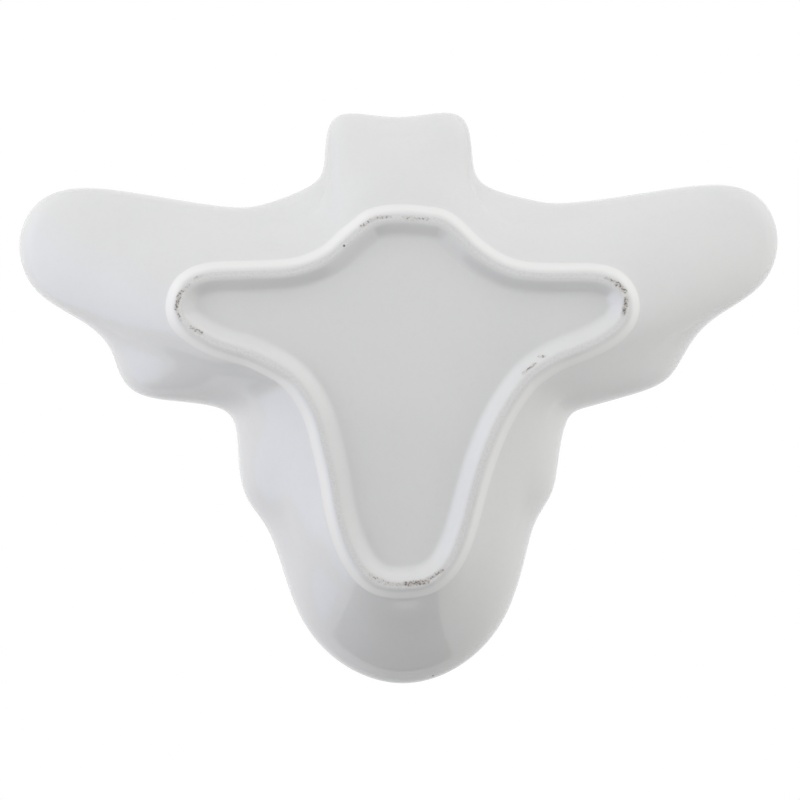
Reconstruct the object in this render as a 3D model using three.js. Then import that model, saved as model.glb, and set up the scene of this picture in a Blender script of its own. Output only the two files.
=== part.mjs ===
// Insect-shaped trinket tray of white glazed ceramic, standing on its foot ring with the dish up.
// Millimetres, +Z up, +Y to the head. The table is z = 0, and the line from head to tail is x = 0.

import * as THREE from 'three';

// Plan
const WING_REACH = 70.2; // middle to the rim at a wing tip
const BODY_REACH = 52.8; // middle to the rim at the tail
const RING_WING_REACH = 40.8; // middle to the foot ring's crest line in a wing
const RING_BODY_REACH = 34.1; // middle to the foot ring's crest line at the tail
const UNEVENNESS = 1.0; // how much of the hand work's unevenness is kept, 0 for a mirror-symmetric tray

// Heights
const TRAY_HEIGHT = 18.0; // table to the top of the lip
const FOOT_HEIGHT = 2.0; // table to the flat underside inside the foot ring

// Dish
const WALL_THICKNESS = 3.8; // also the thickness of the fully rounded lip
const FLOOR_THICKNESS = 4.0;
const WALL_BOW = 0.35; // how far the middle of the outer wall swells below a straight line
const SHOULDER_RUN = 3.2; // plan width in which the outer wall turns upright below the lip
const SHOULDER_DROP = 3.8; // height of that turn, up to the middle of the rounded lip
const INNER_SHOULDER_RUN = 3.0; // the same turn on the dish side
const FLOOR_BLEND_RUN = 3.0; // plan reach of the blend between dish floor and inner wall

// Foot ring, measured square to its crest line
const CREST_WIDTH = 0.7; // flat band that touches the table
const OUTER_FLANK_RUN = 2.15;
const OUTER_FLANK_SLOPE = 1.3; // rise over run where the outer flank meets the wall
const INNER_FLANK_RUN = 3.65;
const TIGHTEST_REACH = 0.85; // most of a bend's radius that the inner flank may take up

// How far round the tray bends are softened, in stations
const WALL_EASE = 1.1; // half way up the outer wall and at the dish floor
const RECESS_EASE = 0.35; // at the edge of the recess inside the foot ring

// Plan from the head to the tail on the +X side. Each station pairs a point of the rim with the point of the
// foot ring's crest line that the wall there rises from. A point is its shares of the line's two reaches, and
// then how far the line stands further out here, and further in on the -X side, as a share of the wing reach.
const STATIONS = [
  { rim: [0.0, 0.985, 0], ring: [0.0, 0.965, 0] }, // dip between the head corners
  { rim: [0.114, 0.999, 0], ring: [0.118, 0.95, -0.001] },
  { rim: [0.182, 0.955, 0], ring: [0.185, 0.915, -0.008] }, // head corner
  { rim: [0.198, 0.814, 0], ring: [0.254, 0.846, -0.007] }, // neck
  { rim: [0.242, 0.737, 0.002], ring: [0.328, 0.766, -0.006] },
  { rim: [0.342, 0.691, -0.002], ring: [0.455, 0.688, 0.001] },
  { rim: [0.442, 0.677, -0.002], ring: [0.599, 0.66, 0.006] }, // saddle of the wing's upper edge
  { rim: [0.627, 0.71, 0.001], ring: [0.75, 0.656, 0.006] },
  { rim: [0.828, 0.742, 0.002], ring: [0.868, 0.649, 0.005] }, // crest of the wing's upper edge
  { rim: [0.954, 0.689, 0], ring: [0.958, 0.605, 0.002] },
  { rim: [1.0, 0.544, 0], ring: [1.0, 0.508, -0.002] }, // wing tip
  { rim: [0.954, 0.384, 0], ring: [0.982, 0.413, -0.004] },
  { rim: [0.838, 0.277, -0.001], ring: [0.919, 0.345, -0.006] },
  { rim: [0.769, 0.189, -0.002], ring: [0.849, 0.299, -0.006] },
  { rim: [0.738, 0.106, 0.004], ring: [0.769, 0.262, -0.007] }, // hind-wing lobe
  { rim: [0.687, 0.032, 0.007], ring: [0.694, 0.23, -0.009] },
  { rim: [0.584, -0.006, 0], ring: [0.619, 0.185, -0.011] },
  { rim: [0.491, -0.032, -0.005], ring: [0.553, 0.134, -0.014] },
  { rim: [0.439, -0.083, -0.001], ring: [0.492, 0.06, -0.017] }, // gap between wing and body
  { rim: [0.422, -0.218, 0.006], ring: [0.418, -0.082, -0.016] },
  { rim: [0.402, -0.341, 0.006], ring: [0.365, -0.255, -0.009] }, // side of the body
  { rim: [0.356, -0.441, 0.003], ring: [0.325, -0.422, -0.004] }, // waist
  { rim: [0.319, -0.585, -0.002], ring: [0.288, -0.618, 0.001] },
  { rim: [0.262, -0.784, -0.002], ring: [0.229, -0.828, 0.002] },
  { rim: [0.15, -0.939, -0.001], ring: [0.128, -0.969, 0.002] },
  { rim: [0.0, -1.0, 0], ring: [0.0, -1.0, 0] }, // tail
];

// Fineness of the skins: steps between stations round the tray, and rows across the section
const STEPS_PER_STATION = 3;
const FLANK_ROWS = 5;
const WALL_ROWS = 4;
const BEND_ROWS = 4;
const LIP_ROWS = 6;

const GLAZE = new THREE.MeshStandardMaterial({ color: 0xe9eae7, roughness: 0.12, metalness: 0 });
const WORN_FOOT = new THREE.MeshStandardMaterial({ color: 0xdcdbd6, roughness: 0.45, metalness: 0 });

// Closed cubic B-spline through the given points, which lie at equal steps of its parameter.
class ClosedSpline extends THREE.Curve {
  constructor(points) {
    super();
    this.controls = points;
    // Each pass takes away at least a third of what the curve still misses the points by.
    for (let pass = 0; pass < points.length; pass += 1) {
      this.controls = points.map((point, index) => {
        return this.control(index).clone().add(point).sub(this.knot(index));
      });
    }
  }

  control(index) {
    return this.controls.at(index % this.controls.length);
  }

  // Point of the curve at a whole step of its parameter
  knot(index) {
    const sum = this.control(index).clone().multiplyScalar(4);
    return sum.add(this.control(index - 1)).add(this.control(index + 1)).divideScalar(6);
  }

  // Level normal at a whole step of the parameter, on the left of the way round
  normal(index) {
    return leftOf(this.control(index - 1), this.control(index + 1));
  }

  getPoint(share, target = new THREE.Vector3()) {
    const place = share * this.controls.length;
    const index = Math.floor(place);
    const t = place - index;
    const weights = [(1 - t) ** 3, 3 * t ** 3 - 6 * t ** 2 + 4, 3 * (t + t ** 2 - t ** 3) + 1, t ** 3];
    target.set(0, 0, 0);
    weights.forEach((weight, offset) => target.addScaledVector(this.control(index - 1 + offset), weight / 6));
    return target;
  }
}

// Level normal on the left of the way from one point to another, which is outward on a way round the tray.
function leftOf(from, to) {
  return new THREE.Vector3(from.y - to.y, to.x - from.x, 0).normalize();
}

// The list for both sides of the tray, from what its +X side has at each station.
function bothSides(right, mirrored) {
  return [...right, ...right.slice(1, -1).reverse().map(mirrored)];
}

// Points at equal steps round the tray on one of its plan lines.
function lineRound(key, wingReach, bodyReach) {
  const right = STATIONS.map(({ [key]: [x, y] }) => new THREE.Vector3(x * wingReach, y * bodyReach, 0));
  const leans = STATIONS.map(({ [key]: [, , lean] }) => lean * WING_REACH * UNEVENNESS);
  const even = new ClosedSpline(bothSides(right, (point) => new THREE.Vector3(-point.x, point.y, 0)));
  const moved = bothSides(leans, (lean) => -lean).map((lean, index) =>
    even.knot(index).addScaledVector(even.normal(index), lean),
  );
  const line = new ClosedSpline(moved);
  const count = moved.length * STEPS_PER_STATION;
  return Array.from({ length: count }, (_, step) => line.getPoint(step / count));
}

// How far the foot ring reaches inward at a bend of its crest line: the crest and the inner flank,
// unless the bend is too tight for them.
function inwardReach(before, here, after) {
  const arriving = here.clone().sub(before);
  const leaving = after.clone().sub(here);
  const turn = leaving.clone().cross(arriving).z;
  const radius = (arriving.length() * leaving.length() * before.distanceTo(after)) / (2 * turn);
  const full = CREST_WIDTH / 2 + INNER_FLANK_RUN;
  return radius > 0 ? Math.min(full, radius * TIGHTEST_REACH) : full;
}

// One frame per step round the tray: the foot ring's crest line, outward normal, inward reach and outer edge,
// and the direction, plan run and mean slope of the wall from that edge to the rim.
function planFrames() {
  const rim = lineRound('rim', WING_REACH, BODY_REACH);
  const ring = lineRound('ring', RING_WING_REACH, RING_BODY_REACH);
  return ring.map((crest, step) => {
    const before = ring.at(step - 1);
    const after = ring[(step + 1) % ring.length];
    const normal = leftOf(before, after);
    const edge = crest.clone().addScaledVector(normal, CREST_WIDTH / 2 + OUTER_FLANK_RUN);
    const wall = rim[step].clone().sub(edge);
    const run = wall.length();
    const inward = inwardReach(before, crest, after);
    const slope = (lipLevel() - SHOULDER_DROP - FOOT_HEIGHT) / run;
    return { crest, normal, inward, edge, run, slope, outward: wall.normalize() };
  });
}

// Height of the middle of the rounded lip.
function lipLevel() {
  return TRAY_HEIGHT - WALL_THICKNESS / 2;
}

// How much the wall's bow changes its slope, less at the foot and more at the shoulder.
function bowSlope(run) {
  return (4 * WALL_BOW) / (run - SHOULDER_RUN);
}

// A row of a section: level distance and height, how far its bends are softened round the tray, and which share
// of what that takes off its broad bends is given back.
function rowAt(distance, height, ease = 0, regain = 0) {
  return { distance, height, ease, regain };
}

// Rows of a quadratic bend after its start, up to and with its end.
function bend(start, corner, end) {
  const corners = [start, corner, end].map((row) => new THREE.Vector2(row.distance, row.height));
  const points = new THREE.QuadraticBezierCurve(...corners).getPoints(BEND_ROWS).slice(1);
  return points.map((point) => rowAt(point.x, point.y, end.ease));
}

// Section of the dish outward from the foot ring's outer edge: up the outer wall, round the lip and down the
// inner wall to the edge of the dish floor.
function dishSection({ run, slope }) {
  const lipRadius = WALL_THICKNESS / 2;
  const floorLevel = FOOT_HEIGHT + FLOOR_THICKNESS;
  const innerRise = WALL_THICKNESS * Math.hypot(1, slope);
  const innerWall = (distance, ease) => rowAt(distance, FOOT_HEIGHT + slope * distance + innerRise, ease);
  const lipInside = run - WALL_THICKNESS;
  const innerTop = lipInside - INNER_SHOULDER_RUN;
  const floorMeet = (FLOOR_THICKNESS - innerRise) / slope;
  const innerFoot = floorMeet + FLOOR_BLEND_RUN;

  const section = [];
  for (let row = 0; row <= WALL_ROWS; row += 1) {
    const share = row / WALL_ROWS;
    const swell = 4 * share * (1 - share);
    const distance = (run - SHOULDER_RUN) * share;
    section.push(rowAt(distance, FOOT_HEIGHT + slope * distance - WALL_BOW * swell, WALL_EASE * swell, 1));
  }
  const shoulder = section.at(-1);
  const corner = rowAt(run, shoulder.height + (slope + bowSlope(run)) * SHOULDER_RUN);
  section.push(...bend(shoulder, corner, rowAt(run, lipLevel())));
  for (let row = 1; row <= LIP_ROWS; row += 1) {
    const turn = (Math.PI * row) / LIP_ROWS;
    const distance = run - lipRadius + lipRadius * Math.cos(turn);
    section.push(rowAt(distance, lipLevel() + lipRadius * Math.sin(turn)));
  }
  section.push(...bend(section.at(-1), innerWall(lipInside), innerWall(innerTop)));
  for (let row = 1; row <= WALL_ROWS; row += 1) {
    const share = row / WALL_ROWS;
    section.push(innerWall(THREE.MathUtils.lerp(innerTop, innerFoot, share), WALL_EASE * share));
  }
  const floorEdge = rowAt(floorMeet - FLOOR_BLEND_RUN, floorLevel, WALL_EASE);
  section.push(...bend(section.at(-1), rowAt(floorMeet, floorLevel), floorEdge));
  return section;
}

// Rows of one flank of the foot ring outward from its crest line, from the crest up. The flank swells out of
// the crest and ends at the given slope.
function flank(run, endSlope, ease) {
  return Array.from({ length: FLANK_ROWS + 1 }, (_, row) => {
    const t = row / FLANK_ROWS;
    const rise = FOOT_HEIGHT * THREE.MathUtils.smoothstep(t, 0, 1) + endSlope * run * (t ** 3 - t ** 2);
    return rowAt(CREST_WIDTH / 2 + run * t, rise, ease * t);
  });
}

// Section of the foot ring outward from its crest line: down the inner flank, which blends into the flat
// underside, across the crest and up the round outer flank.
function ringSection({ inward }) {
  const inner = flank(inward - CREST_WIDTH / 2, 0, RECESS_EASE);
  const outer = flank(OUTER_FLANK_RUN, OUTER_FLANK_SLOPE, 0);
  return [...inner.reverse().map((row) => rowAt(-row.distance, row.height, row.ease)), ...outer];
}

// A row of points round the tray after each is replaced by a weighted mean over a reach given in stations.
function averaged(row, reach) {
  const spread = reach * STEPS_PER_STATION;
  const far = Math.ceil(3 * spread);
  const near = Array.from({ length: 2 * far + 1 }, (_, index) => index - far);
  const weights = near.map((away) => (away === 0 ? 1 : Math.exp(-0.5 * (away / spread) ** 2)));
  const total = weights.reduce((sum, weight) => sum + weight, 0);
  return row.map((_, step) => {
    const sum = new THREE.Vector3();
    near.forEach((away, index) => {
      sum.addScaledVector(row.at((step + away) % row.length), weights[index] / total);
    });
    return sum;
  });
}

// A row of points round the tray with its bends softened. A mean over what the first mean took off holds the
// broad bends, and a share of it is given back.
function eased(row, reach, regain) {
  const soft = averaged(row, reach);
  const lost = averaged(row.map((point, step) => point.clone().sub(soft[step])), reach);
  return soft.map((point, step) => point.addScaledVector(lost[step], regain));
}

// Turns the section at each step into rows of points that go round the tray.
function rowsRound(frames, section, origin, direction) {
  const sections = frames.map(section);
  return sections[0].map(({ ease, regain }, row) => {
    const points = frames.map((frame, step) => {
      const { distance, height } = sections[step][row];
      return frame[origin].clone().addScaledVector(frame[direction], distance).setZ(height);
    });
    return eased(points, ease, regain);
  });
}

// Flat triangles over a level row of points, facing up (facing = 1) or down (facing = -1).
function cap(row, first, facing) {
  const outline = row.map((point) => new THREE.Vector2(point.x, point.y));
  return THREE.ShapeUtils.triangulateShape(outline, []).flatMap(([a, b, c]) => {
    const side = outline[b].clone().sub(outline[a]);
    const turn = side.cross(outline[c].clone().sub(outline[a]));
    const order = turn * facing > 0 ? [a, b, c] : [a, c, b];
    return order.map((corner) => first + corner);
  });
}

// Closed skin over rows of points. The last row is joined to the first one, or both get flat caps.
function skin(rows, joined) {
  const steps = rows[0].length;
  const bands = joined ? rows.length : rows.length - 1;
  const faces = [];
  for (let row = 0; row < bands; row += 1) {
    const here = row * steps;
    const next = ((row + 1) % rows.length) * steps;
    for (let step = 0; step < steps; step += 1) {
      const along = (step + 1) % steps;
      faces.push(here + step, next + step, next + along);
      faces.push(here + step, next + along, here + along);
    }
  }
  if (!joined) {
    faces.push(...cap(rows[0], 0, -1));
    faces.push(...cap(rows.at(-1), bands * steps, 1));
  }
  const geometry = new THREE.BufferGeometry();
  geometry.setFromPoints(rows.flat());
  geometry.setIndex(faces);
  geometry.computeVertexNormals();
  return geometry;
}

function named(name, geometry, material) {
  const mesh = new THREE.Mesh(geometry, material);
  mesh.name = name;
  return mesh;
}

// The dish: flat underside, sloping wall, rounded lip, inner wall and dish floor.
function trayShell(frames) {
  const rows = rowsRound(frames, dishSection, 'edge', 'outward');
  return named('tray_shell', skin(rows, false), GLAZE);
}

// The raised ring that the tray stands on, seated face to face on the flat underside.
function footRing(frames) {
  const rows = rowsRound(frames, ringSection, 'crest', 'normal');
  return named('foot_ring', skin(rows, true), WORN_FOOT);
}

const frames = planFrames();
const tray = new THREE.Group();
tray.name = 'trinket_tray';
tray.add(trayShell(frames), footRing(frames));

export default tray;
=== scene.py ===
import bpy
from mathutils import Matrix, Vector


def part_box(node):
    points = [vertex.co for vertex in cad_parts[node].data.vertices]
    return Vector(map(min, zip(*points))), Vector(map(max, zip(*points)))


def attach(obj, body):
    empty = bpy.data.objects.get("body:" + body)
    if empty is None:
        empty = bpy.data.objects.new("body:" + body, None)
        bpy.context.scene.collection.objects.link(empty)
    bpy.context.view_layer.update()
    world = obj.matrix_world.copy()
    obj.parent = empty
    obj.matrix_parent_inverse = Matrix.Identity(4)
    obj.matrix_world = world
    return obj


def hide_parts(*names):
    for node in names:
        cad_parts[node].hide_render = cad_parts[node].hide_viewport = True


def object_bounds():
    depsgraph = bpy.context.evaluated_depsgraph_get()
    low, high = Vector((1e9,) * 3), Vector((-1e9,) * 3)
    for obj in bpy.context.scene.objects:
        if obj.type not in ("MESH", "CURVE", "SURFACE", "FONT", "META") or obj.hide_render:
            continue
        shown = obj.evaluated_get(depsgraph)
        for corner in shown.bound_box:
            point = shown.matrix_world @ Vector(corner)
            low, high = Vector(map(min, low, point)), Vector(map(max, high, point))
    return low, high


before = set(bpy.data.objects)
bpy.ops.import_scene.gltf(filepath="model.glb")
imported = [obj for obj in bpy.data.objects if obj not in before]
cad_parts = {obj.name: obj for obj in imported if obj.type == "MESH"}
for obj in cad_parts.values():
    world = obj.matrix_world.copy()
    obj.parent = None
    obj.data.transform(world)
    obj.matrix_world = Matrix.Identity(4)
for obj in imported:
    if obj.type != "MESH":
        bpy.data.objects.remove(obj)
CAD_LOW, CAD_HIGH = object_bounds()
FOOT_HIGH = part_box("foot_ring")[1]

import math
from types import SimpleNamespace

import bpy
import numpy as np
from bpy.props import FloatProperty, FloatVectorProperty, PointerProperty
from bpy.types import Operator, Panel, PropertyGroup
from mathutils import Matrix, Vector

bl_info = {
    "name": "Trinket tray",
    "version": (1, 0, 0),
    "blender": (4, 5, 0),
    "location": "View3D > Sidebar > Tray",
    "description": "Builds an insect-shaped trinket tray of white glazed ceramic on its foot ring",
    "category": "Add Mesh",
}

MM = 0.001

# Plan from the head to the tail on the +X side. A station pairs a point of the rim with the point of
# the foot ring's crest line that the wall there rises from. A point is its shares of the line's two
# reaches, and then how far the line stands further out here, and further in on the -X side, as a
# share of the wing reach.
STATIONS = (
    ((0.000, 0.985, 0.000), (0.000, 0.965, 0.000)),  # dip between the head corners
    ((0.114, 0.999, 0.000), (0.118, 0.950, -0.001)),
    ((0.182, 0.955, 0.000), (0.185, 0.915, -0.008)),  # head corner
    ((0.198, 0.814, 0.000), (0.254, 0.846, -0.007)),  # neck
    ((0.242, 0.737, 0.002), (0.328, 0.766, -0.006)),
    ((0.342, 0.691, -0.002), (0.455, 0.688, 0.001)),
    ((0.442, 0.677, -0.002), (0.599, 0.660, 0.006)),  # saddle of the wing's upper edge
    ((0.627, 0.710, 0.001), (0.750, 0.656, 0.006)),
    ((0.828, 0.742, 0.002), (0.868, 0.649, 0.005)),  # crest of the wing's upper edge
    ((0.954, 0.689, 0.000), (0.958, 0.605, 0.002)),
    ((1.000, 0.544, 0.000), (1.000, 0.508, -0.002)),  # wing tip
    ((0.954, 0.384, 0.000), (0.982, 0.413, -0.004)),
    ((0.838, 0.277, -0.001), (0.919, 0.345, -0.006)),
    ((0.769, 0.189, -0.002), (0.849, 0.299, -0.006)),
    ((0.738, 0.106, 0.004), (0.769, 0.262, -0.007)),  # hind-wing lobe
    ((0.687, 0.032, 0.007), (0.694, 0.230, -0.009)),
    ((0.584, -0.006, 0.000), (0.619, 0.185, -0.011)),
    ((0.491, -0.032, -0.005), (0.553, 0.134, -0.014)),
    ((0.439, -0.083, -0.001), (0.492, 0.060, -0.017)),  # gap between wing and body
    ((0.422, -0.218, 0.006), (0.418, -0.082, -0.016)),
    ((0.402, -0.341, 0.006), (0.365, -0.255, -0.009)),  # side of the body
    ((0.356, -0.441, 0.003), (0.325, -0.422, -0.004)),  # waist
    ((0.319, -0.585, -0.002), (0.288, -0.618, 0.001)),
    ((0.262, -0.784, -0.002), (0.229, -0.828, 0.002)),
    ((0.150, -0.939, -0.001), (0.128, -0.969, 0.002)),
    ((0.000, -1.000, 0.000), (0.000, -1.000, 0.000)),  # tail
)
RIM, RING = range(2)

# Fineness of the skins
STEPS_PER_STATION = 10
FLANK_ROWS = 14
CREST_ROWS = 4
WALL_ROWS = 20
BEND_ROWS = 10
LIP_ROWS = 14
TIGHTEST_REACH = 0.85  # most of a bend's radius that the inner flank may take up
WALL_EASE = 1.1  # how far the wall's bends are softened round the tray, in stations
RECESS_EASE = 0.35  # the same at the edge of the recess
FLANK_SHARE = 0.87  # share of the inner flank, from the crest on, in which it rises
SHORTEST_SLOPE = 0.5 * MM  # least run of the dish's slope between its two blends
COVE_SHARE = 0.2  # share of the inner flank, from the recess on, that is made with the dish
LEAST_EASE = 0.01  # least reach of a softened bend, in stations
LEAST_TIGHTNESS = 1e-6  # bend of a line that counts as straight, one over its radius in metres

# Places on the crest where the glaze has rubbed dark: both ends in plan, in millimetres, the band's
# half width and how dark the rub is
RUBS = (
    ((7.4, 31.3), (4.9, 32.8), 0.35, 0.55),
    ((4.8, 32.9), (2.3, 33.0), 0.30, 0.60),
    ((-0.6, 32.8), (-4.9, 32.5), 0.30, 0.50),
    ((38.8, 20.8), (40.4, 19.4), 0.30, 0.60),
    ((40.4, 19.4), (41.2, 16.9), 0.42, 0.90),
    ((41.1, 16.4), (40.4, 14.6), 0.32, 0.60),
    ((38.4, 13.1), (36.6, 12.2), 0.38, 0.70),
    ((37.6, 22.2), (36.6, 22.4), 0.25, 0.55),
    ((-37.2, 21.5), (-39.1, 20.7), 0.35, 0.55),
    ((-39.1, 20.6), (-40.6, 19.2), 0.50, 0.85),
    ((-40.9, 17.7), (-40.4, 15.1), 0.45, 0.95),
    ((6.1, -32.4), (3.2, -33.7), 0.60, 0.35),
    ((2.8, -33.9), (-0.3, -34.0), 0.30, 0.60),
    ((-0.3, -33.9), (-3.9, -33.5), 0.50, 1.00),
    ((-4.0, -33.2), (-7.0, -31.4), 0.35, 0.65),
    ((-21.9, 4.2), (-24.2, 6.1), 0.25, 0.90),
    ((-24.9, 7.3), (-25.9, 7.4), 0.25, 0.75),
)
# Dark pinholes in the glaze of the underside: place and radius, in millimetres
PINHOLES = (
    ((10.5, 27.8, 0.0), 0.22),
    ((-5.5, -51.4, 13.2), 0.25),
)
RUB_END = 1.4  # half widths from a rub's middle at which it has faded out
PINHOLE_EDGE = (1.3, 0.6)  # shares of a pinhole's radius between which it darkens

# Noises of the glaze, in cells to the metre
CLOUD_SCALE = 42
WAVE_SCALE = 110
FINE_SCALE = 900
GRAIN_SCALE = 2400

# Tone and relief of the glaze: the levels of a noise between which a mask rises, and shares
CLOUD_LEVELS = (0.35, 0.75)
CLOUD_SHARE = 0.35  # most deep glaze that a cloud shows
FINE_LEVELS = (0.45, 0.8)
FINE_SHARE = 0.24  # most deep glaze that a speck shows
LEAST_GLOSS = 0.75  # share of the roughness that is everywhere
GLOSS_RANGE = 0.5  # share of the roughness that goes with the clouds
FINE_RELIEF = 0.10  # height of the specks beside the waves
RELIEF_DEPTH = 0.03 * MM
GLAZE_IOR = 1.5

# Finish of the foot ring and the painted highlight on its outer flank, from the edge of its crest or
# from its crest line
WIPED_PAST = 0.8 * MM  # how far past the crest's edge the wiping ends
WIPED_FULL = 0.3 * MM  # how far inside that edge it is full
WIPED_LEVELS = (0.40, 0.72)  # of the grain
WIPED_SHARE = 0.6  # most of the wiped colour that the crest shows
HIGHLIGHT_START = (0.3 * MM, 1.2 * MM)  # past the crest's edge, where the painted highlight on the outer flank sets in
HIGHLIGHT_END = (3.0 * MM, 2.0 * MM)  # from the crest line, where it ends
RUB_GAIN = 0.22  # how far wear lifts the grain
RUB_LEVELS = (0.56, 0.88)  # of the lifted grain
RUB_ONSET = (0.05, 0.4)  # of the wear
STAIN_SHARE = 0.5  # most of the stain that full wear shows

# Stage
NO_TINT = (1, 1, 1, 1)
BLACK = (0.02, 0.02, 0.02, 1)
SOFT_FADE = 0.7  # share of a card's half width and height over which it fades out
CRISP_FADE = 0.03
FLOOR_RADIUS = 0.45
FLOOR_SIDES = 96
FLOOR_FADE = (0.42, 0.10)  # from the middle, where the floor starts to show and is full
FLOOR_GAP = 0.1 * MM  # keeps the floor out of the crest's plane
SENSOR_WIDTH = 36  # in millimetres
LENS = 247.2  # in millimetres
CAMERA_AIM = (0.09, -0.37, 16.1)  # in millimetres
CAMERA_ROLL = -0.5  # in degrees


def length(name, description, default):
    """A size that a user may change."""
    return FloatProperty(
        name=name, description=description, default=default, min=0, unit="LENGTH", precision=4
    )


def level(name, description, default):
    """A share or a strength that a user may change."""
    return FloatProperty(name=name, description=description, default=default, min=0, precision=3)


def colour(name, description, default):
    """A colour that a user may change."""
    return FloatVectorProperty(
        name=name, description=description, default=default, size=4, min=0, max=1, subtype="COLOR"
    )


class TraySizes(PropertyGroup):
    """Sizes of the tray"""

    wing_reach: length("Wing reach", "From the middle to a wing tip", CAD_HIGH.x)
    body_reach: length("Body reach", "From the middle to the tail", -CAD_LOW.y)
    tray_height: length("Height", "From the table to the top of the lip", CAD_HIGH.z)
    wall_thickness: length("Wall thickness", "Also the thickness of the rounded lip", 3.8 * MM)
    floor_thickness: length("Floor thickness", "Between the dish floor and the flat underside", 4.0 * MM)
    wall_bow: length("Wall bow", "How far the outer wall swells below a straight line", 0.35 * MM)
    shoulder_run: length("Shoulder run", "Plan width in which the outer wall turns upright", 3.2 * MM)
    shoulder_drop: length("Shoulder drop", "Height of that turn, up to the rounded lip", 3.8 * MM)
    inner_shoulder_run: length("Inner shoulder run", "The same turn on the dish side", 3.0 * MM)
    floor_blend_run: length("Floor blend run", "Reach of the blend round the dish floor", 3.0 * MM)
    ring_wing_reach: length("Ring wing reach", "From the middle to the crest line's wing tip", 40.8 * MM)
    ring_body_reach: length("Ring body reach", "From the middle to the crest line's tail end", 34.1 * MM)
    foot_height: length("Foot height", "From the table to the flat underside", FOOT_HIGH.z)
    crest_width: length("Crest width", "Band of the foot ring that touches the table", 0.7 * MM)
    outer_flank_run: length("Outer flank run", "Plan width of the foot ring's outer flank", 2.15 * MM)
    outer_flank_slope: level("Outer flank slope", "Rise over run where that flank meets the wall", 1.3)
    inner_flank_run: length("Inner flank run", "Plan width of the foot ring's inner flank", 3.65 * MM)
    unevenness: level("Unevenness", "How much of the hand-made unevenness of rim and ring is kept", 1.0)


class TrayFinish(PropertyGroup):
    """Colours and gloss of the glaze and of the worn foot, and the painted highlight on the foot's outer
    flank
    """

    glaze: colour("Glaze", "Body colour of the white glaze", (0.665, 0.668, 0.665, 1))
    glaze_deep: colour("Deep glaze", "Glaze where it has pooled", (0.62, 0.625, 0.63, 1))
    # Painted highlight: the lighter colour of the foot ring's outer flank stands in for the glaze's
    # reflection of the lights.
    flank_highlight: colour("Bead", "Thick glaze on the outer flank of the foot", (0.735, 0.735, 0.73, 1))
    wiped: colour("Wiped crest", "Thin glaze on the crest of the foot", (0.56, 0.55, 0.54, 1))
    stain: colour("Stain", "Brown round the rub marks", (0.44, 0.39, 0.35, 1))
    rub: colour("Rub marks", "Dark specks where the crest has rubbed", (0.11, 0.09, 0.08, 1))
    gloss: level("Roughness", "Roughness of the glaze", 0.02)
    crest_roughness: level("Crest roughness", "Roughness of the wiped crest", 0.34)


class TrayStage(PropertyGroup):
    """Floor, lights and camera"""

    floor: colour("Floor", "Colour of the floor", (0.90, 0.90, 0.90, 1))
    ambient: level("Ambient", "Light from all round", 0.66)
    left_light: level("Left light", "Brightness of the softbox on the +X side", 4.1)
    right_light: level("Right light", "Brightness of the softbox on the -X side", 3.35)
    head_light: level("Head light", "Brightness of the softbox on the head side", 2.35)
    tail_light: level("Tail light", "Brightness of the softbox on the tail side", 1.15)
    under_light: level("Under light", "Brightness of the wide softbox behind the camera", 1.17)
    camera_light: level("Camera light", "Brightness of the dim card round the camera", 0.47)
    top_light: level("Top light", "Brightness of the softbox over the dish", 2.8)
    window_light: level("Window light", "Brightness of the pane that the glaze mirrors", 2.1)
    window_tint: colour("Window tint", "Colour of that pane", (0.64, 0.73, 1.0, 1))
    left_tint: colour("Left tint", "Cool daylight on the +X side", (0.96, 0.955, 1.0, 1))
    right_tint: colour("Right tint", "Warmer light on the -X side", (1.0, 0.985, 0.963, 1))
    camera_distance: length("Camera distance", "From the table to the camera below it", 1.0)
    camera_side: length("Camera side step", "How far the camera stands to the +X side", 0.030)


class Signal:
    """An output of a shader node. Python's operators on signals add the Math nodes between them."""

    def __init__(self, tree, output=None):
        self.tree = tree
        self.output = output

    def add(self, kind, settings, inputs, output=0):
        """Adds a node, with its settings first and then the values or links of its sockets."""
        node = self.tree.nodes.new(kind)
        for name, value in settings.items():
            setattr(node, name, value)
        for name, value in inputs.items():
            if isinstance(value, Signal):
                self.tree.links.new(value.output, node.inputs[name])
            else:
                node.inputs[name].default_value = value
        return Signal(self.tree, node.outputs[output] if len(node.outputs) else None)

    def sum(self, operation, first, second):
        """A Math node of two values."""
        return self.add("ShaderNodeMath", {"operation": operation}, {0: first, 1: second})

    def __add__(self, other):
        return self.sum("ADD", self, other)

    def __radd__(self, other):
        return self.sum("ADD", other, self)

    def __rsub__(self, other):
        return self.sum("SUBTRACT", other, self)

    def __mul__(self, other):
        return self.sum("MULTIPLY", self, other)

    def __rmul__(self, other):
        return self.sum("MULTIPLY", other, self)

    def __or__(self, other):
        """The larger of two masks."""
        return self.sum("MAXIMUM", self, other)

    def between(self, low, high):
        """A soft mask that is 0 below low and 1 above high, or the other way round where low is the
        larger."""
        settings = {"interpolation_type": "SMOOTHSTEP"}
        sockets = {"Value": self, "From Min": low, "From Max": high}
        return self.add("ShaderNodeMapRange", settings, sockets)

    def mix(self, first, second):
        """The first colour where this mask is 0, the second where it is 1."""
        return self.add("ShaderNodeMix", {"data_type": "RGBA"}, {0: self, 6: first, 7: second}, 2)


def tree_of(owner):
    """The empty node tree of a material or world."""
    owner.use_nodes = True
    owner.node_tree.nodes.clear()
    return Signal(owner.node_tree)


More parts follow.
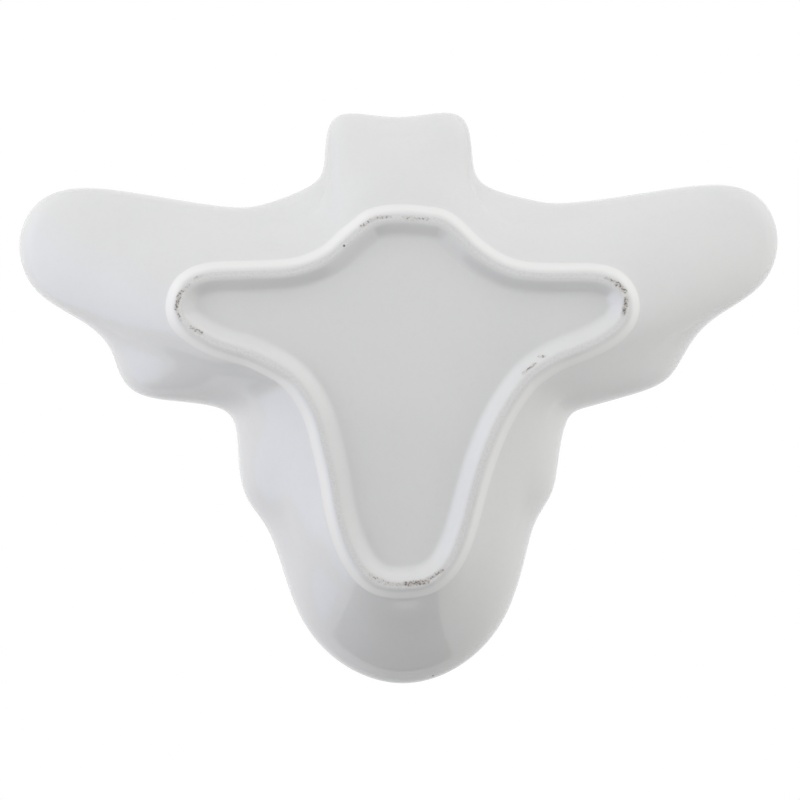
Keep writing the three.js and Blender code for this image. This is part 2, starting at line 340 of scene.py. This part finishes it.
def closed_spline(points):
    """Points at equal steps round the closed cubic spline through the given points, and the spline's
    directions there."""
    count = len(points)
    ones = np.eye(count)
    controls = np.linalg.solve((4 * ones + np.roll(ones, 1, 0) + np.roll(ones, -1, 0)) / 6, points)
    t = np.arange(STEPS_PER_STATION)[:, None] / STEPS_PER_STATION
    weights = np.array(((1 - t) ** 3, 3 * t**3 - 6 * t**2 + 4, 3 * (t + t**2 - t**3) + 1, t**3)) / 6
    slopes = np.array((-((1 - t) ** 2), 3 * t**2 - 4 * t, 1 + 2 * t - 3 * t**2, t**2)) / 2
    near = np.array([np.roll(controls, shift, 0) for shift in (1, 0, -1, -2)])
    places = np.einsum("ksj,kcd->csd", weights, near).reshape(-1, 2)
    directions = np.einsum("ksj,kcd->csd", slopes, near).reshape(-1, 2)
    return places, directions


def unit(vectors):
    """The same directions with length 1."""
    return vectors / np.linalg.norm(vectors, axis=-1, keepdims=True)


def outward(directions):
    """Level normals that point out of the tray, from the directions of a line that goes round it."""
    along = unit(directions)
    return np.column_stack((-along[:, 1], along[:, 0]))


def plan_line(line, reach, sizes):
    """The rim or the ring's crest line at equal steps round the tray, and its directions."""
    half = np.array([station[line] for station in STATIONS])
    both = np.concatenate((half, half[-2:0:-1] * (-1, 1, -1)))
    points = both[:, :2] * reach
    lean = both[:, 2:] * sizes.wing_reach * sizes.unevenness
    _, even = closed_spline(points)
    return closed_spline(points + outward(even[::STEPS_PER_STATION]) * lean)


def tray_plan(sizes):
    """The plan at equal steps round the tray: the ring's crest line, its outward normals and inward
    reach, and the wall's start, direction and run."""
    half_crest = sizes.crest_width / 2
    ring_margin = half_crest + sizes.outer_flank_run
    rim, _ = plan_line(RIM, (sizes.wing_reach, sizes.body_reach), sizes)
    crest, along = plan_line(RING, (sizes.ring_wing_reach, sizes.ring_body_reach), sizes)
    normal = outward(along)
    start = crest + normal * ring_margin
    wall = rim - start
    run = np.linalg.norm(wall, axis=1)
    return SimpleNamespace(
        crest=crest,
        normal=normal,
        inward=inward_reach(crest, half_crest + sizes.inner_flank_run),
        start=start,
        outward=wall / run[:, None],
        run=run,
    )


def inward_reach(crest, full):
    """How far the foot ring reaches inward from its crest line, less where the line bends too tightly
    for it."""
    arriving = crest - np.roll(crest, 1, 0)
    leaving = np.roll(arriving, -1, 0)
    turn = arriving[:, 1] * leaving[:, 0] - arriving[:, 0] * leaving[:, 1]
    chord = np.linalg.norm(arriving + leaving, axis=1)
    lengths = np.linalg.norm(arriving, axis=1) * np.linalg.norm(leaving, axis=1)
    tightness = np.maximum(2 * turn / (lengths * chord), LEAST_TIGHTNESS)
    return np.minimum(full, TIGHTEST_REACH / tightness)


def eased(row, reach, regain=0):
    """A row of points round the tray with its bends softened over a reach given in stations, and a
    share of what that takes off its broad bends given back."""
    steps = np.arange(len(row))
    away = np.minimum(steps, len(row) - steps) / STEPS_PER_STATION
    weights = np.exp(-0.5 * (away / max(reach, LEAST_EASE)) ** 2)
    kept = np.fft.rfft(weights / weights.sum())[:, None]
    kept = kept * (1 + regain * (1 - kept))
    return np.fft.irfft(np.fft.rfft(row, axis=0) * kept, len(row), axis=0)


def at_level(origin, direction, distance, height):
    """A row of points at a distance from each origin along its level direction, at a height."""
    distance = np.broadcast_to(distance, len(origin))
    height = np.broadcast_to(height, len(origin))
    return np.column_stack((origin + direction * distance[:, None], height))


def bend(start, corner, end, rows):
    """Distances and heights of a quadratic bend after its start, up to and with its end."""
    shares = np.linspace(0, 1, rows + 1)[1:]
    for t in shares:
        parts = ((1 - t) ** 2, 2 * t * (1 - t), t**2)
        pairs = tuple(zip(parts, (start, corner, end)))
        yield tuple(sum(part * point[axis] for part, point in pairs) for axis in (0, 1))


def smooth(t):
    """From 0 to 1, level at both ends."""
    return t * t * (3 - 2 * t)


def bow(t):
    """0 at both ends and 1 in the middle."""
    return 4 * t * (1 - t)


def ring_rows(sizes, plan):
    """Rows of the underside from the edge of the flat recess over the crest to the start of the wall,
    and each row's distance outward from the crest line."""
    half_crest = sizes.crest_width / 2
    inner_run = plan.inward - half_crest
    rows = []
    across = []
    for t in np.linspace(1, 0, FLANK_ROWS + 1):
        distance = -half_crest - inner_run * t
        rise = sizes.foot_height * smooth(min(1, t / FLANK_SHARE))
        rows.append(eased(at_level(plan.crest, plan.normal, distance, rise), RECESS_EASE * t))
        across.append(distance)
    for t in np.linspace(-1, 1, CREST_ROWS + 1)[1:-1]:
        rows.append(at_level(plan.crest, plan.normal, half_crest * t, 0))
        across.append(half_crest * t)
    for t in np.linspace(0, 1, FLANK_ROWS + 1):
        distance = half_crest + sizes.outer_flank_run * t
        steepened = sizes.outer_flank_slope * sizes.outer_flank_run * (t**3 - t**2)
        rise = sizes.foot_height * smooth(t) + steepened
        rows.append(at_level(plan.crest, plan.normal, distance, rise))
        across.append(distance)
    return rows, across


def wall_rows(sizes, plan):
    """Rows of the dish from the start of its outer wall over the lip to the edge of its floor."""
    run = plan.run
    radius = sizes.wall_thickness / 2
    lip_level = sizes.tray_height - radius
    floor_level = sizes.foot_height + sizes.floor_thickness
    shoulder_level = lip_level - sizes.shoulder_drop
    slope = (shoulder_level - sizes.foot_height) / run
    straight = run - sizes.shoulder_run
    inner_rise = sizes.wall_thickness * np.hypot(1, slope)
    lip_inside = run - sizes.wall_thickness
    floor_meet = (sizes.floor_thickness - inner_rise) / slope

    def outer(distance):
        return distance, sizes.foot_height + slope * distance

    def inner(distance):
        return distance, sizes.foot_height + slope * distance + inner_rise

    section = []
    eases = []
    for t in np.linspace(0, 1, WALL_ROWS + 1):
        distance, height = outer(straight * t)
        section.append((distance, height - sizes.wall_bow * bow(t)))
        eases.append((WALL_EASE * bow(t), 1))
    end_slope = slope + 4 * sizes.wall_bow / straight
    corner = (run, section[-1][1] + end_slope * sizes.shoulder_run)
    section += bend(section[-1], corner, (run, lip_level), BEND_ROWS)
    for turn in np.linspace(0, math.pi, LIP_ROWS + 1)[1:]:
        section.append((run - radius + radius * math.cos(turn), lip_level + radius * math.sin(turn)))
    upper = lip_inside - sizes.inner_shoulder_run
    section += bend(section[-1], inner(lip_inside), inner(upper), BEND_ROWS)
    eases += [(0, 0)] * (len(section) - len(eases))
    lower = np.minimum(floor_meet + sizes.floor_blend_run, upper - SHORTEST_SLOPE)
    for t in np.linspace(0, 1, WALL_ROWS + 1)[1:]:
        section.append(inner(upper + (lower - upper) * t))
        eases.append((WALL_EASE * t / 2, 0))
    floor_edge = (floor_meet - sizes.floor_blend_run, floor_level)
    section += bend(section[-1], (floor_meet, floor_level), floor_edge, BEND_ROWS)
    eases += [(WALL_EASE * (1 + t) / 2, 0) for t in np.linspace(0, 1, BEND_ROWS + 1)[1:]]
    pairs = zip(section, eases)
    return [eased(at_level(plan.start, plan.outward, *place), *ease) for place, ease in pairs]


def tray_skin(sizes):
    """The whole skin as rows of points that go round the tray, from the recess to the dish floor, with
    its normals, the rows between which it is the foot ring's, and how far each point of the underside
    lies outward from the crest line."""
    plan = tray_plan(sizes)
    ring, across = ring_rows(sizes, plan)
    rows = np.array(ring + wall_rows(sizes, plan)[1:])
    return SimpleNamespace(
        rows=rows,
        normals=skin_normals(rows),
        across=np.array([np.broadcast_to(distance, len(plan.run)) for distance in across]),
        first_ring=round(FLANK_ROWS * COVE_SHARE),
        last_ring=len(ring) - 1,
    )


def skin_normals(rows):
    """Normals of the whole skin, so that the pieces cut from it meet without a visible seam."""
    around = np.roll(rows, -1, 1)
    faces = np.cross(rows[1:] - around[:-1], around[1:] - rows[:-1])
    faces = faces + np.roll(faces, 1, 1)
    normals = np.zeros_like(rows)
    normals[:-1] += faces
    normals[1:] += faces
    normals[0] = (0, 0, -1)
    normals[-1] = (0, 0, 1)
    return unit(normals)


def quads(count, steps, joined):
    """Faces between neighbouring rows, and between the last row and the first where they are joined."""
    step = np.arange(steps)
    along = (step + 1) % steps
    for row in range(count if joined else count - 1):
        here = row * steps
        there = (row + 1) % count * steps
        yield from np.column_stack((here + step, there + step, there + along, here + along)).tolist()


def piece(name, skin, kept, joined, values, finish):
    """A closed piece over the kept rows of the skin, with values at its points. The last row joins the
    first, or both get flat faces."""
    rows = skin.rows[kept]
    count, steps, _ = rows.shape
    faces = list(quads(count, steps, joined))
    if not joined:
        faces.append(list(range(steps)))
        faces.append(list(range(count * steps - 1, (count - 1) * steps - 1, -1)))
    mesh = bpy.data.meshes.new(name)
    mesh.from_pydata(rows.reshape(-1, 3).tolist(), [], faces)
    mesh.shade_smooth()
    mesh.normals_split_custom_set_from_vertices(skin.normals[kept].reshape(-1, 3).tolist())
    for label, numbers in values.items():
        mesh.attributes.new(label, "FLOAT", "POINT").data.foreach_set("value", numbers.ravel())
    mesh.materials.append(finish)
    mesh.validate()
    made = bpy.data.objects.new(name, mesh)
    bpy.context.scene.collection.objects.link(made)
    return made


def rubbed(points):
    """How far the glaze has rubbed dark at each point of the crest, from 0 to 1."""
    spot = points[..., :2] / MM
    wear = np.zeros(spot.shape[:-1])
    for first, last, half_width, darkness in RUBS:
        first = np.array(first)
        way = np.array(last) - first
        share = np.clip((spot - first) @ way / (way @ way), 0, 1)
        gap = np.linalg.norm(spot - first - share[..., None] * way, axis=-1)
        wear = np.maximum(wear, darkness * np.clip(RUB_END - gap / half_width, 0, 1))
    return wear


def noise(paint, place, scale, detail, roughness):
    """A noise from 0 to 1 through the piece."""
    sockets = {"Vector": place, "Scale": scale, "Detail": detail, "Roughness": roughness}
    return paint.add("ShaderNodeTexNoise", {}, sockets)


def glaze_parts(paint, finish):
    """What both pieces share: the glaze's cloudy tone, its uneven gloss and its gentle waves."""
    place = paint.add("ShaderNodeTexCoord", {}, {}, "Object")
    cloud = noise(paint, place, CLOUD_SCALE, detail=3, roughness=0.5)
    fine = noise(paint, place, FINE_SCALE, detail=2, roughness=0.6)
    wave = noise(paint, place, WAVE_SCALE, detail=1, roughness=0.4)
    tone = cloud.between(*CLOUD_LEVELS) * CLOUD_SHARE + fine.between(*FINE_LEVELS) * FINE_SHARE
    return SimpleNamespace(
        place=place,
        tone=tone.mix(finish.glaze, finish.glaze_deep),
        roughness=finish.gloss * (LEAST_GLOSS + GLOSS_RANGE * cloud),
        relief=wave + FINE_RELIEF * fine,
    )


def pinholes(paint, place):
    """A mask of the dark pinholes in the glaze."""
    mask = None
    for centre, radius in PINHOLES:
        ends = {0: place, 1: tuple(Vector(centre) * MM)}
        gap = paint.add("ShaderNodeVectorMath", {"operation": "DISTANCE"}, ends, 1)
        dot = gap.between(*(radius * MM * share for share in PINHOLE_EDGE))
        mask = dot if mask is None else mask | dot
    return mask


def ceramic(paint, base, roughness, relief):
    """The surface shader of glazed ceramic."""
    bump = {"Strength": 1.0, "Distance": RELIEF_DEPTH, "Height": relief}
    normal = paint.add("ShaderNodeBump", {}, bump)
    sockets = {"Base Color": base, "Roughness": roughness, "Normal": normal, "IOR": GLAZE_IOR}
    shader = paint.add("ShaderNodeBsdfPrincipled", {}, sockets)
    paint.add("ShaderNodeOutputMaterial", {}, {"Surface": shader})


def dish_finish(finish):
    """White glaze with its dark pinholes."""
    material = bpy.data.materials.new("white_glaze")
    paint = tree_of(material)
    glaze = glaze_parts(paint, finish)
    holes = pinholes(paint, glaze.place)
    base = holes.mix(glaze.tone, finish.rub)
    ceramic(paint, base, glaze.roughness, glaze.relief)
    return material


def foot_finish(finish, sizes):
    """The same glaze with a painted highlight on the outer flank, and wiped thin on the crest, where it
    is duller and has rubbed dark in places."""
    material = bpy.data.materials.new("wiped_foot")
    paint = tree_of(material)
    glaze = glaze_parts(paint, finish)
    across = paint.add("ShaderNodeAttribute", {"attribute_name": "across"}, {}, "Fac")
    wear = paint.add("ShaderNodeAttribute", {"attribute_name": "wear"}, {}, "Fac")
    grain = noise(paint, glaze.place, GRAIN_SCALE, detail=2, roughness=0.6)
    reach = paint.add("ShaderNodeMath", {"operation": "ABSOLUTE"}, {0: across})
    half_crest = sizes.crest_width / 2
    crest = reach.between(half_crest + WIPED_PAST, half_crest - WIPED_FULL)
    # Mask of the outer flank, where a lighter colour is painted as a highlight
    flank = across.between(*(half_crest + past for past in HIGHLIGHT_START)) * across.between(*HIGHLIGHT_END)
    rub = (grain + wear * RUB_GAIN).between(*RUB_LEVELS) * wear.between(*RUB_ONSET)
    holes = pinholes(paint, glaze.place)
    base = flank.mix(glaze.tone, finish.flank_highlight)
    base = (crest * grain.between(*WIPED_LEVELS) * WIPED_SHARE).mix(base, finish.wiped)
    base = (wear * STAIN_SHARE).mix(base, finish.stain)
    base = (rub | holes).mix(base, finish.rub)
    roughness = glaze.roughness + crest * (finish.crest_roughness - finish.gloss)
    ceramic(paint, base, roughness, glaze.relief)
    return material


class TRAY_OT_dish(Operator):
    """Build the dish: flat recess, sloping wall, rounded lip and dish floor"""

    bl_idname = "tray.dish"
    bl_label = "Dish"

    def execute(self, context):
        scene = context.scene
        skin = tray_skin(scene.tray_sizes)
        kept = [*range(skin.first_ring + 1), *range(skin.last_ring, len(skin.rows))]
        made = piece("glazed_dish", skin, kept, False, {}, dish_finish(scene.tray_finish))
        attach(made, "root")
        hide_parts("tray_shell")
        return {"FINISHED"}


class TRAY_OT_foot(Operator):
    """Build the raised foot ring with its wiped and rubbed crest"""

    bl_idname = "tray.foot"
    bl_label = "Foot ring"

    def execute(self, context):
        scene = context.scene
        skin = tray_skin(scene.tray_sizes)
        kept = list(range(skin.first_ring, skin.last_ring + 1))
        values = {"across": skin.across[kept], "wear": rubbed(skin.rows[kept])}
        finish = foot_finish(scene.tray_finish, scene.tray_sizes)
        made = piece("worn_foot_ring", skin, kept, True, values, finish)
        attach(made, "root")
        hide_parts("foot_ring")
        return {"FINISHED"}


def card(name, place, aim, size, fades, shader):
    """A card at a place that faces an aim. It fades out at its left, right, lower and upper edge, over
    these shares of its half width and height. The camera doesn't see it."""
    width, height = size
    material = bpy.data.materials.new(name)
    paint = tree_of(material)
    spot = paint.add("ShaderNodeTexCoord", {}, {}, "Object")
    shares = {0: spot, 1: (2 / width, 2 / height, 0)}
    spot = paint.add("ShaderNodeVectorMath", {"operation": "MULTIPLY"}, shares)
    sideways = paint.add("ShaderNodeSeparateXYZ", {}, {0: spot}, "X")
    upward = paint.add("ShaderNodeSeparateXYZ", {}, {0: spot}, "Y")
    left, right, lower, upper = fades
    shown = sideways.between(-1, left - 1) * sideways.between(1, 1 - right)
    shown = shown * upward.between(-1, lower - 1) * upward.between(1, 1 - upper)
    clear = paint.add("ShaderNodeBsdfTransparent", {}, {})
    surface = paint.add("ShaderNodeMixShader", {}, {0: shown, 1: clear, 2: shader(paint)})
    paint.add("ShaderNodeOutputMaterial", {}, {"Surface": surface})
    mesh = bpy.data.meshes.new(name)
    corners = [(x * width / 2, y * height / 2, 0) for x, y in ((-1, -1), (1, -1), (1, 1), (-1, 1))]
    mesh.from_pydata(corners, [], [(0, 1, 2, 3)])
    mesh.materials.append(material)
    made = bpy.data.objects.new(name, mesh)
    made.location = place
    made.rotation_euler = (Vector(aim) - Vector(place)).to_track_quat("-Z", "Y").to_euler()
    made.visible_camera = False
    bpy.context.scene.collection.objects.link(made)
    return made


def glow(brightness, tint):
    """The shader of a card that shines."""
    sockets = {"Color": tint, "Strength": brightness}
    return lambda paint: paint.add("ShaderNodeEmission", {}, sockets)


def softbox(name, place, size, brightness, tint=NO_TINT):
    """A bright card that faces the tray and doesn't show in its glaze."""
    made = card(name, place, (0, 0, 0), size, [SOFT_FADE] * 4, glow(brightness, tint))
    made.visible_glossy = False


def window(name, place, aim, size, fades, brightness, tint):
    """A bright pane that shows in the glaze and gives no other light."""
    made = card(name, place, aim, size, fades, glow(brightness, tint))
    made.visible_diffuse = False
    made.visible_shadow = False


def black(paint):
    """The shader of a black card."""
    return paint.add("ShaderNodeBsdfDiffuse", {}, {"Color": BLACK})


def black_card(name, place, aim, size):
    """A card that keeps light off the tray or shows dark in its glaze."""
    return card(name, place, aim, size, [CRISP_FADE] * 4, black)


def floor_disc(stage):
    """A pale floor that shows from above only and fades into the white background round the tray."""
    material = bpy.data.materials.new("pale_floor")
    paint = tree_of(material)
    camera = paint.add("ShaderNodeLightPath", {}, {}, "Is Camera Ray")
    behind = paint.add("ShaderNodeNewGeometry", {}, {}, "Backfacing")
    place = paint.add("ShaderNodeTexCoord", {}, {}, "Object")
    reach = paint.add("ShaderNodeVectorMath", {"operation": "LENGTH"}, {0: place}, 1)
    shown = camera * (1 - behind) * reach.between(*FLOOR_FADE)
    clear = paint.add("ShaderNodeBsdfTransparent", {}, {})
    pale = paint.add("ShaderNodeBsdfDiffuse", {}, {"Color": stage.floor})
    surface = paint.add("ShaderNodeMixShader", {}, {0: shown, 1: clear, 2: pale})
    paint.add("ShaderNodeOutputMaterial", {}, {"Surface": surface})
    turns = np.linspace(0, 2 * math.pi, FLOOR_SIDES, endpoint=False)
    points = np.column_stack((np.cos(turns), np.sin(turns), turns * 0)) * FLOOR_RADIUS
    mesh = bpy.data.meshes.new("floor")
    mesh.from_pydata(points.tolist(), [], [list(range(len(turns)))])
    mesh.materials.append(material)
    made = bpy.data.objects.new("floor", mesh)
    made.location.z = -FLOOR_GAP
    bpy.context.scene.collection.objects.link(made)


def white_world(stage):
    """White to the camera and in reflections, and a plain ambient light to everything else."""
    world = bpy.data.worlds.new("white_studio")
    bpy.context.scene.world = world
    light = tree_of(world)
    camera = light.add("ShaderNodeLightPath", {}, {}, "Is Camera Ray")
    glossy = light.add("ShaderNodeLightPath", {}, {}, "Is Glossy Ray")
    through = light.add("ShaderNodeLightPath", {}, {}, "Is Transmission Ray")
    shown = camera | glossy | through
    strength = stage.ambient + shown * (1 - stage.ambient)
    background = light.add("ShaderNodeBackground", {}, {"Color": (1, 1, 1, 1), "Strength": strength})
    light.add("ShaderNodeOutputWorld", {}, {"Surface": background})


def camera_below(stage):
    """The camera under the table, looking up at the foot ring. The head is at the top of the picture."""
    data = bpy.data.cameras.new("camera")
    data.sensor_width = SENSOR_WIDTH
    data.lens = LENS
    made = bpy.data.objects.new("camera", data)
    place = Vector((stage.camera_side, 0, -stage.camera_distance))
    aim = Vector(CAMERA_AIM) * MM
    forward = (aim - place).normalized()
    right = forward.cross(Vector((0, 1, 0))).normalized()
    turn = Matrix((right, right.cross(forward), -forward)).transposed().to_4x4()
    roll = Matrix.Rotation(math.radians(CAMERA_ROLL), 4, "Z")
    made.matrix_world = Matrix.Translation(place) @ turn @ roll
    bpy.context.scene.collection.objects.link(made)
    bpy.context.scene.camera = made


class TRAY_OT_stage(Operator):
    """Set up the floor, the soft studio light and the camera"""

    bl_idname = "tray.stage"
    bl_label = "Stage"

    def execute(self, context):
        stage = context.scene.tray_stage
        context.scene.view_settings.view_transform = "Standard"
        white_world(stage)
        floor_disc(stage)
        boxes = (
            ("left_softbox", (0.55, -0.16, -0.12), (0.80, 0.48), stage.left_light, stage.left_tint),
            ("right_softbox", (-0.57, -0.12, -0.09), (0.80, 0.40), stage.right_light, stage.right_tint),
            ("head_softbox", (0, 0.50, -0.20), (0.90, 0.65), stage.head_light),
            ("tail_softbox", (0, -0.35, -0.61), (0.52, 0.46), stage.tail_light),
            ("under_softbox", (0, 0, -1.08), (2.60, 2.60), stage.under_light),
            ("camera_softbox", (0, 0.10, -1.04), (1.20, 1.20), stage.camera_light),
            ("top_softbox", (0.35, 0.35, 1.00), (1.20, 1.20), stage.top_light),
        )
        for box in boxes:
            softbox(*box)
        flag = black_card(
            "tail_flag", place=(0.014, -0.134, -0.14), aim=(0.014, 0, -0.14), size=(0.22, 0.26)
        )
        flag.visible_glossy = False
        black_card(
            "tail_card", place=(0.10, -0.60, -0.17), aim=(0.10, 0, -0.17), size=(0.86, 0.34)
        )
        window(
            "left_window",
            place=(0.60, 0.10, -0.545),
            aim=(0, 0.10, -0.545),
            size=(1.30, 1.00),
            fades=(CRISP_FADE, 1.2, 1.4, CRISP_FADE),
            brightness=stage.window_light,
            tint=stage.window_tint,
        )
        camera_below(stage)
        return {"FINISHED"}


class TRAY_PT_panel(Panel):
    """The tray's sizes, finish and stage, with a button for each of its pieces"""

    bl_label = "Trinket tray"
    bl_space_type = "VIEW_3D"
    bl_region_type = "UI"
    bl_category = "Tray"

    def draw(self, context):
        for group in (context.scene.tray_sizes, context.scene.tray_finish, context.scene.tray_stage):
            box = self.layout.box()
            for name in group.__annotations__:
                box.prop(group, name)
        for operator in (TRAY_OT_dish, TRAY_OT_foot, TRAY_OT_stage):
            self.layout.operator(operator.bl_idname)


CLASSES = (TraySizes, TrayFinish, TrayStage, TRAY_OT_dish, TRAY_OT_foot, TRAY_OT_stage, TRAY_PT_panel)


def register():
    for item in CLASSES:
        bpy.utils.register_class(item)
    bpy.types.Scene.tray_sizes = PointerProperty(type=TraySizes)
    bpy.types.Scene.tray_finish = PointerProperty(type=TrayFinish)
    bpy.types.Scene.tray_stage = PointerProperty(type=TrayStage)


def unregister():
    del bpy.types.Scene.tray_stage
    del bpy.types.Scene.tray_finish
    del bpy.types.Scene.tray_sizes
    for item in reversed(CLASSES):
        bpy.utils.unregister_class(item)


def main():
    register()
    bpy.ops.tray.stage()
    bpy.ops.tray.dish()
    bpy.ops.tray.foot()


if __name__ == "__main__":
    main()
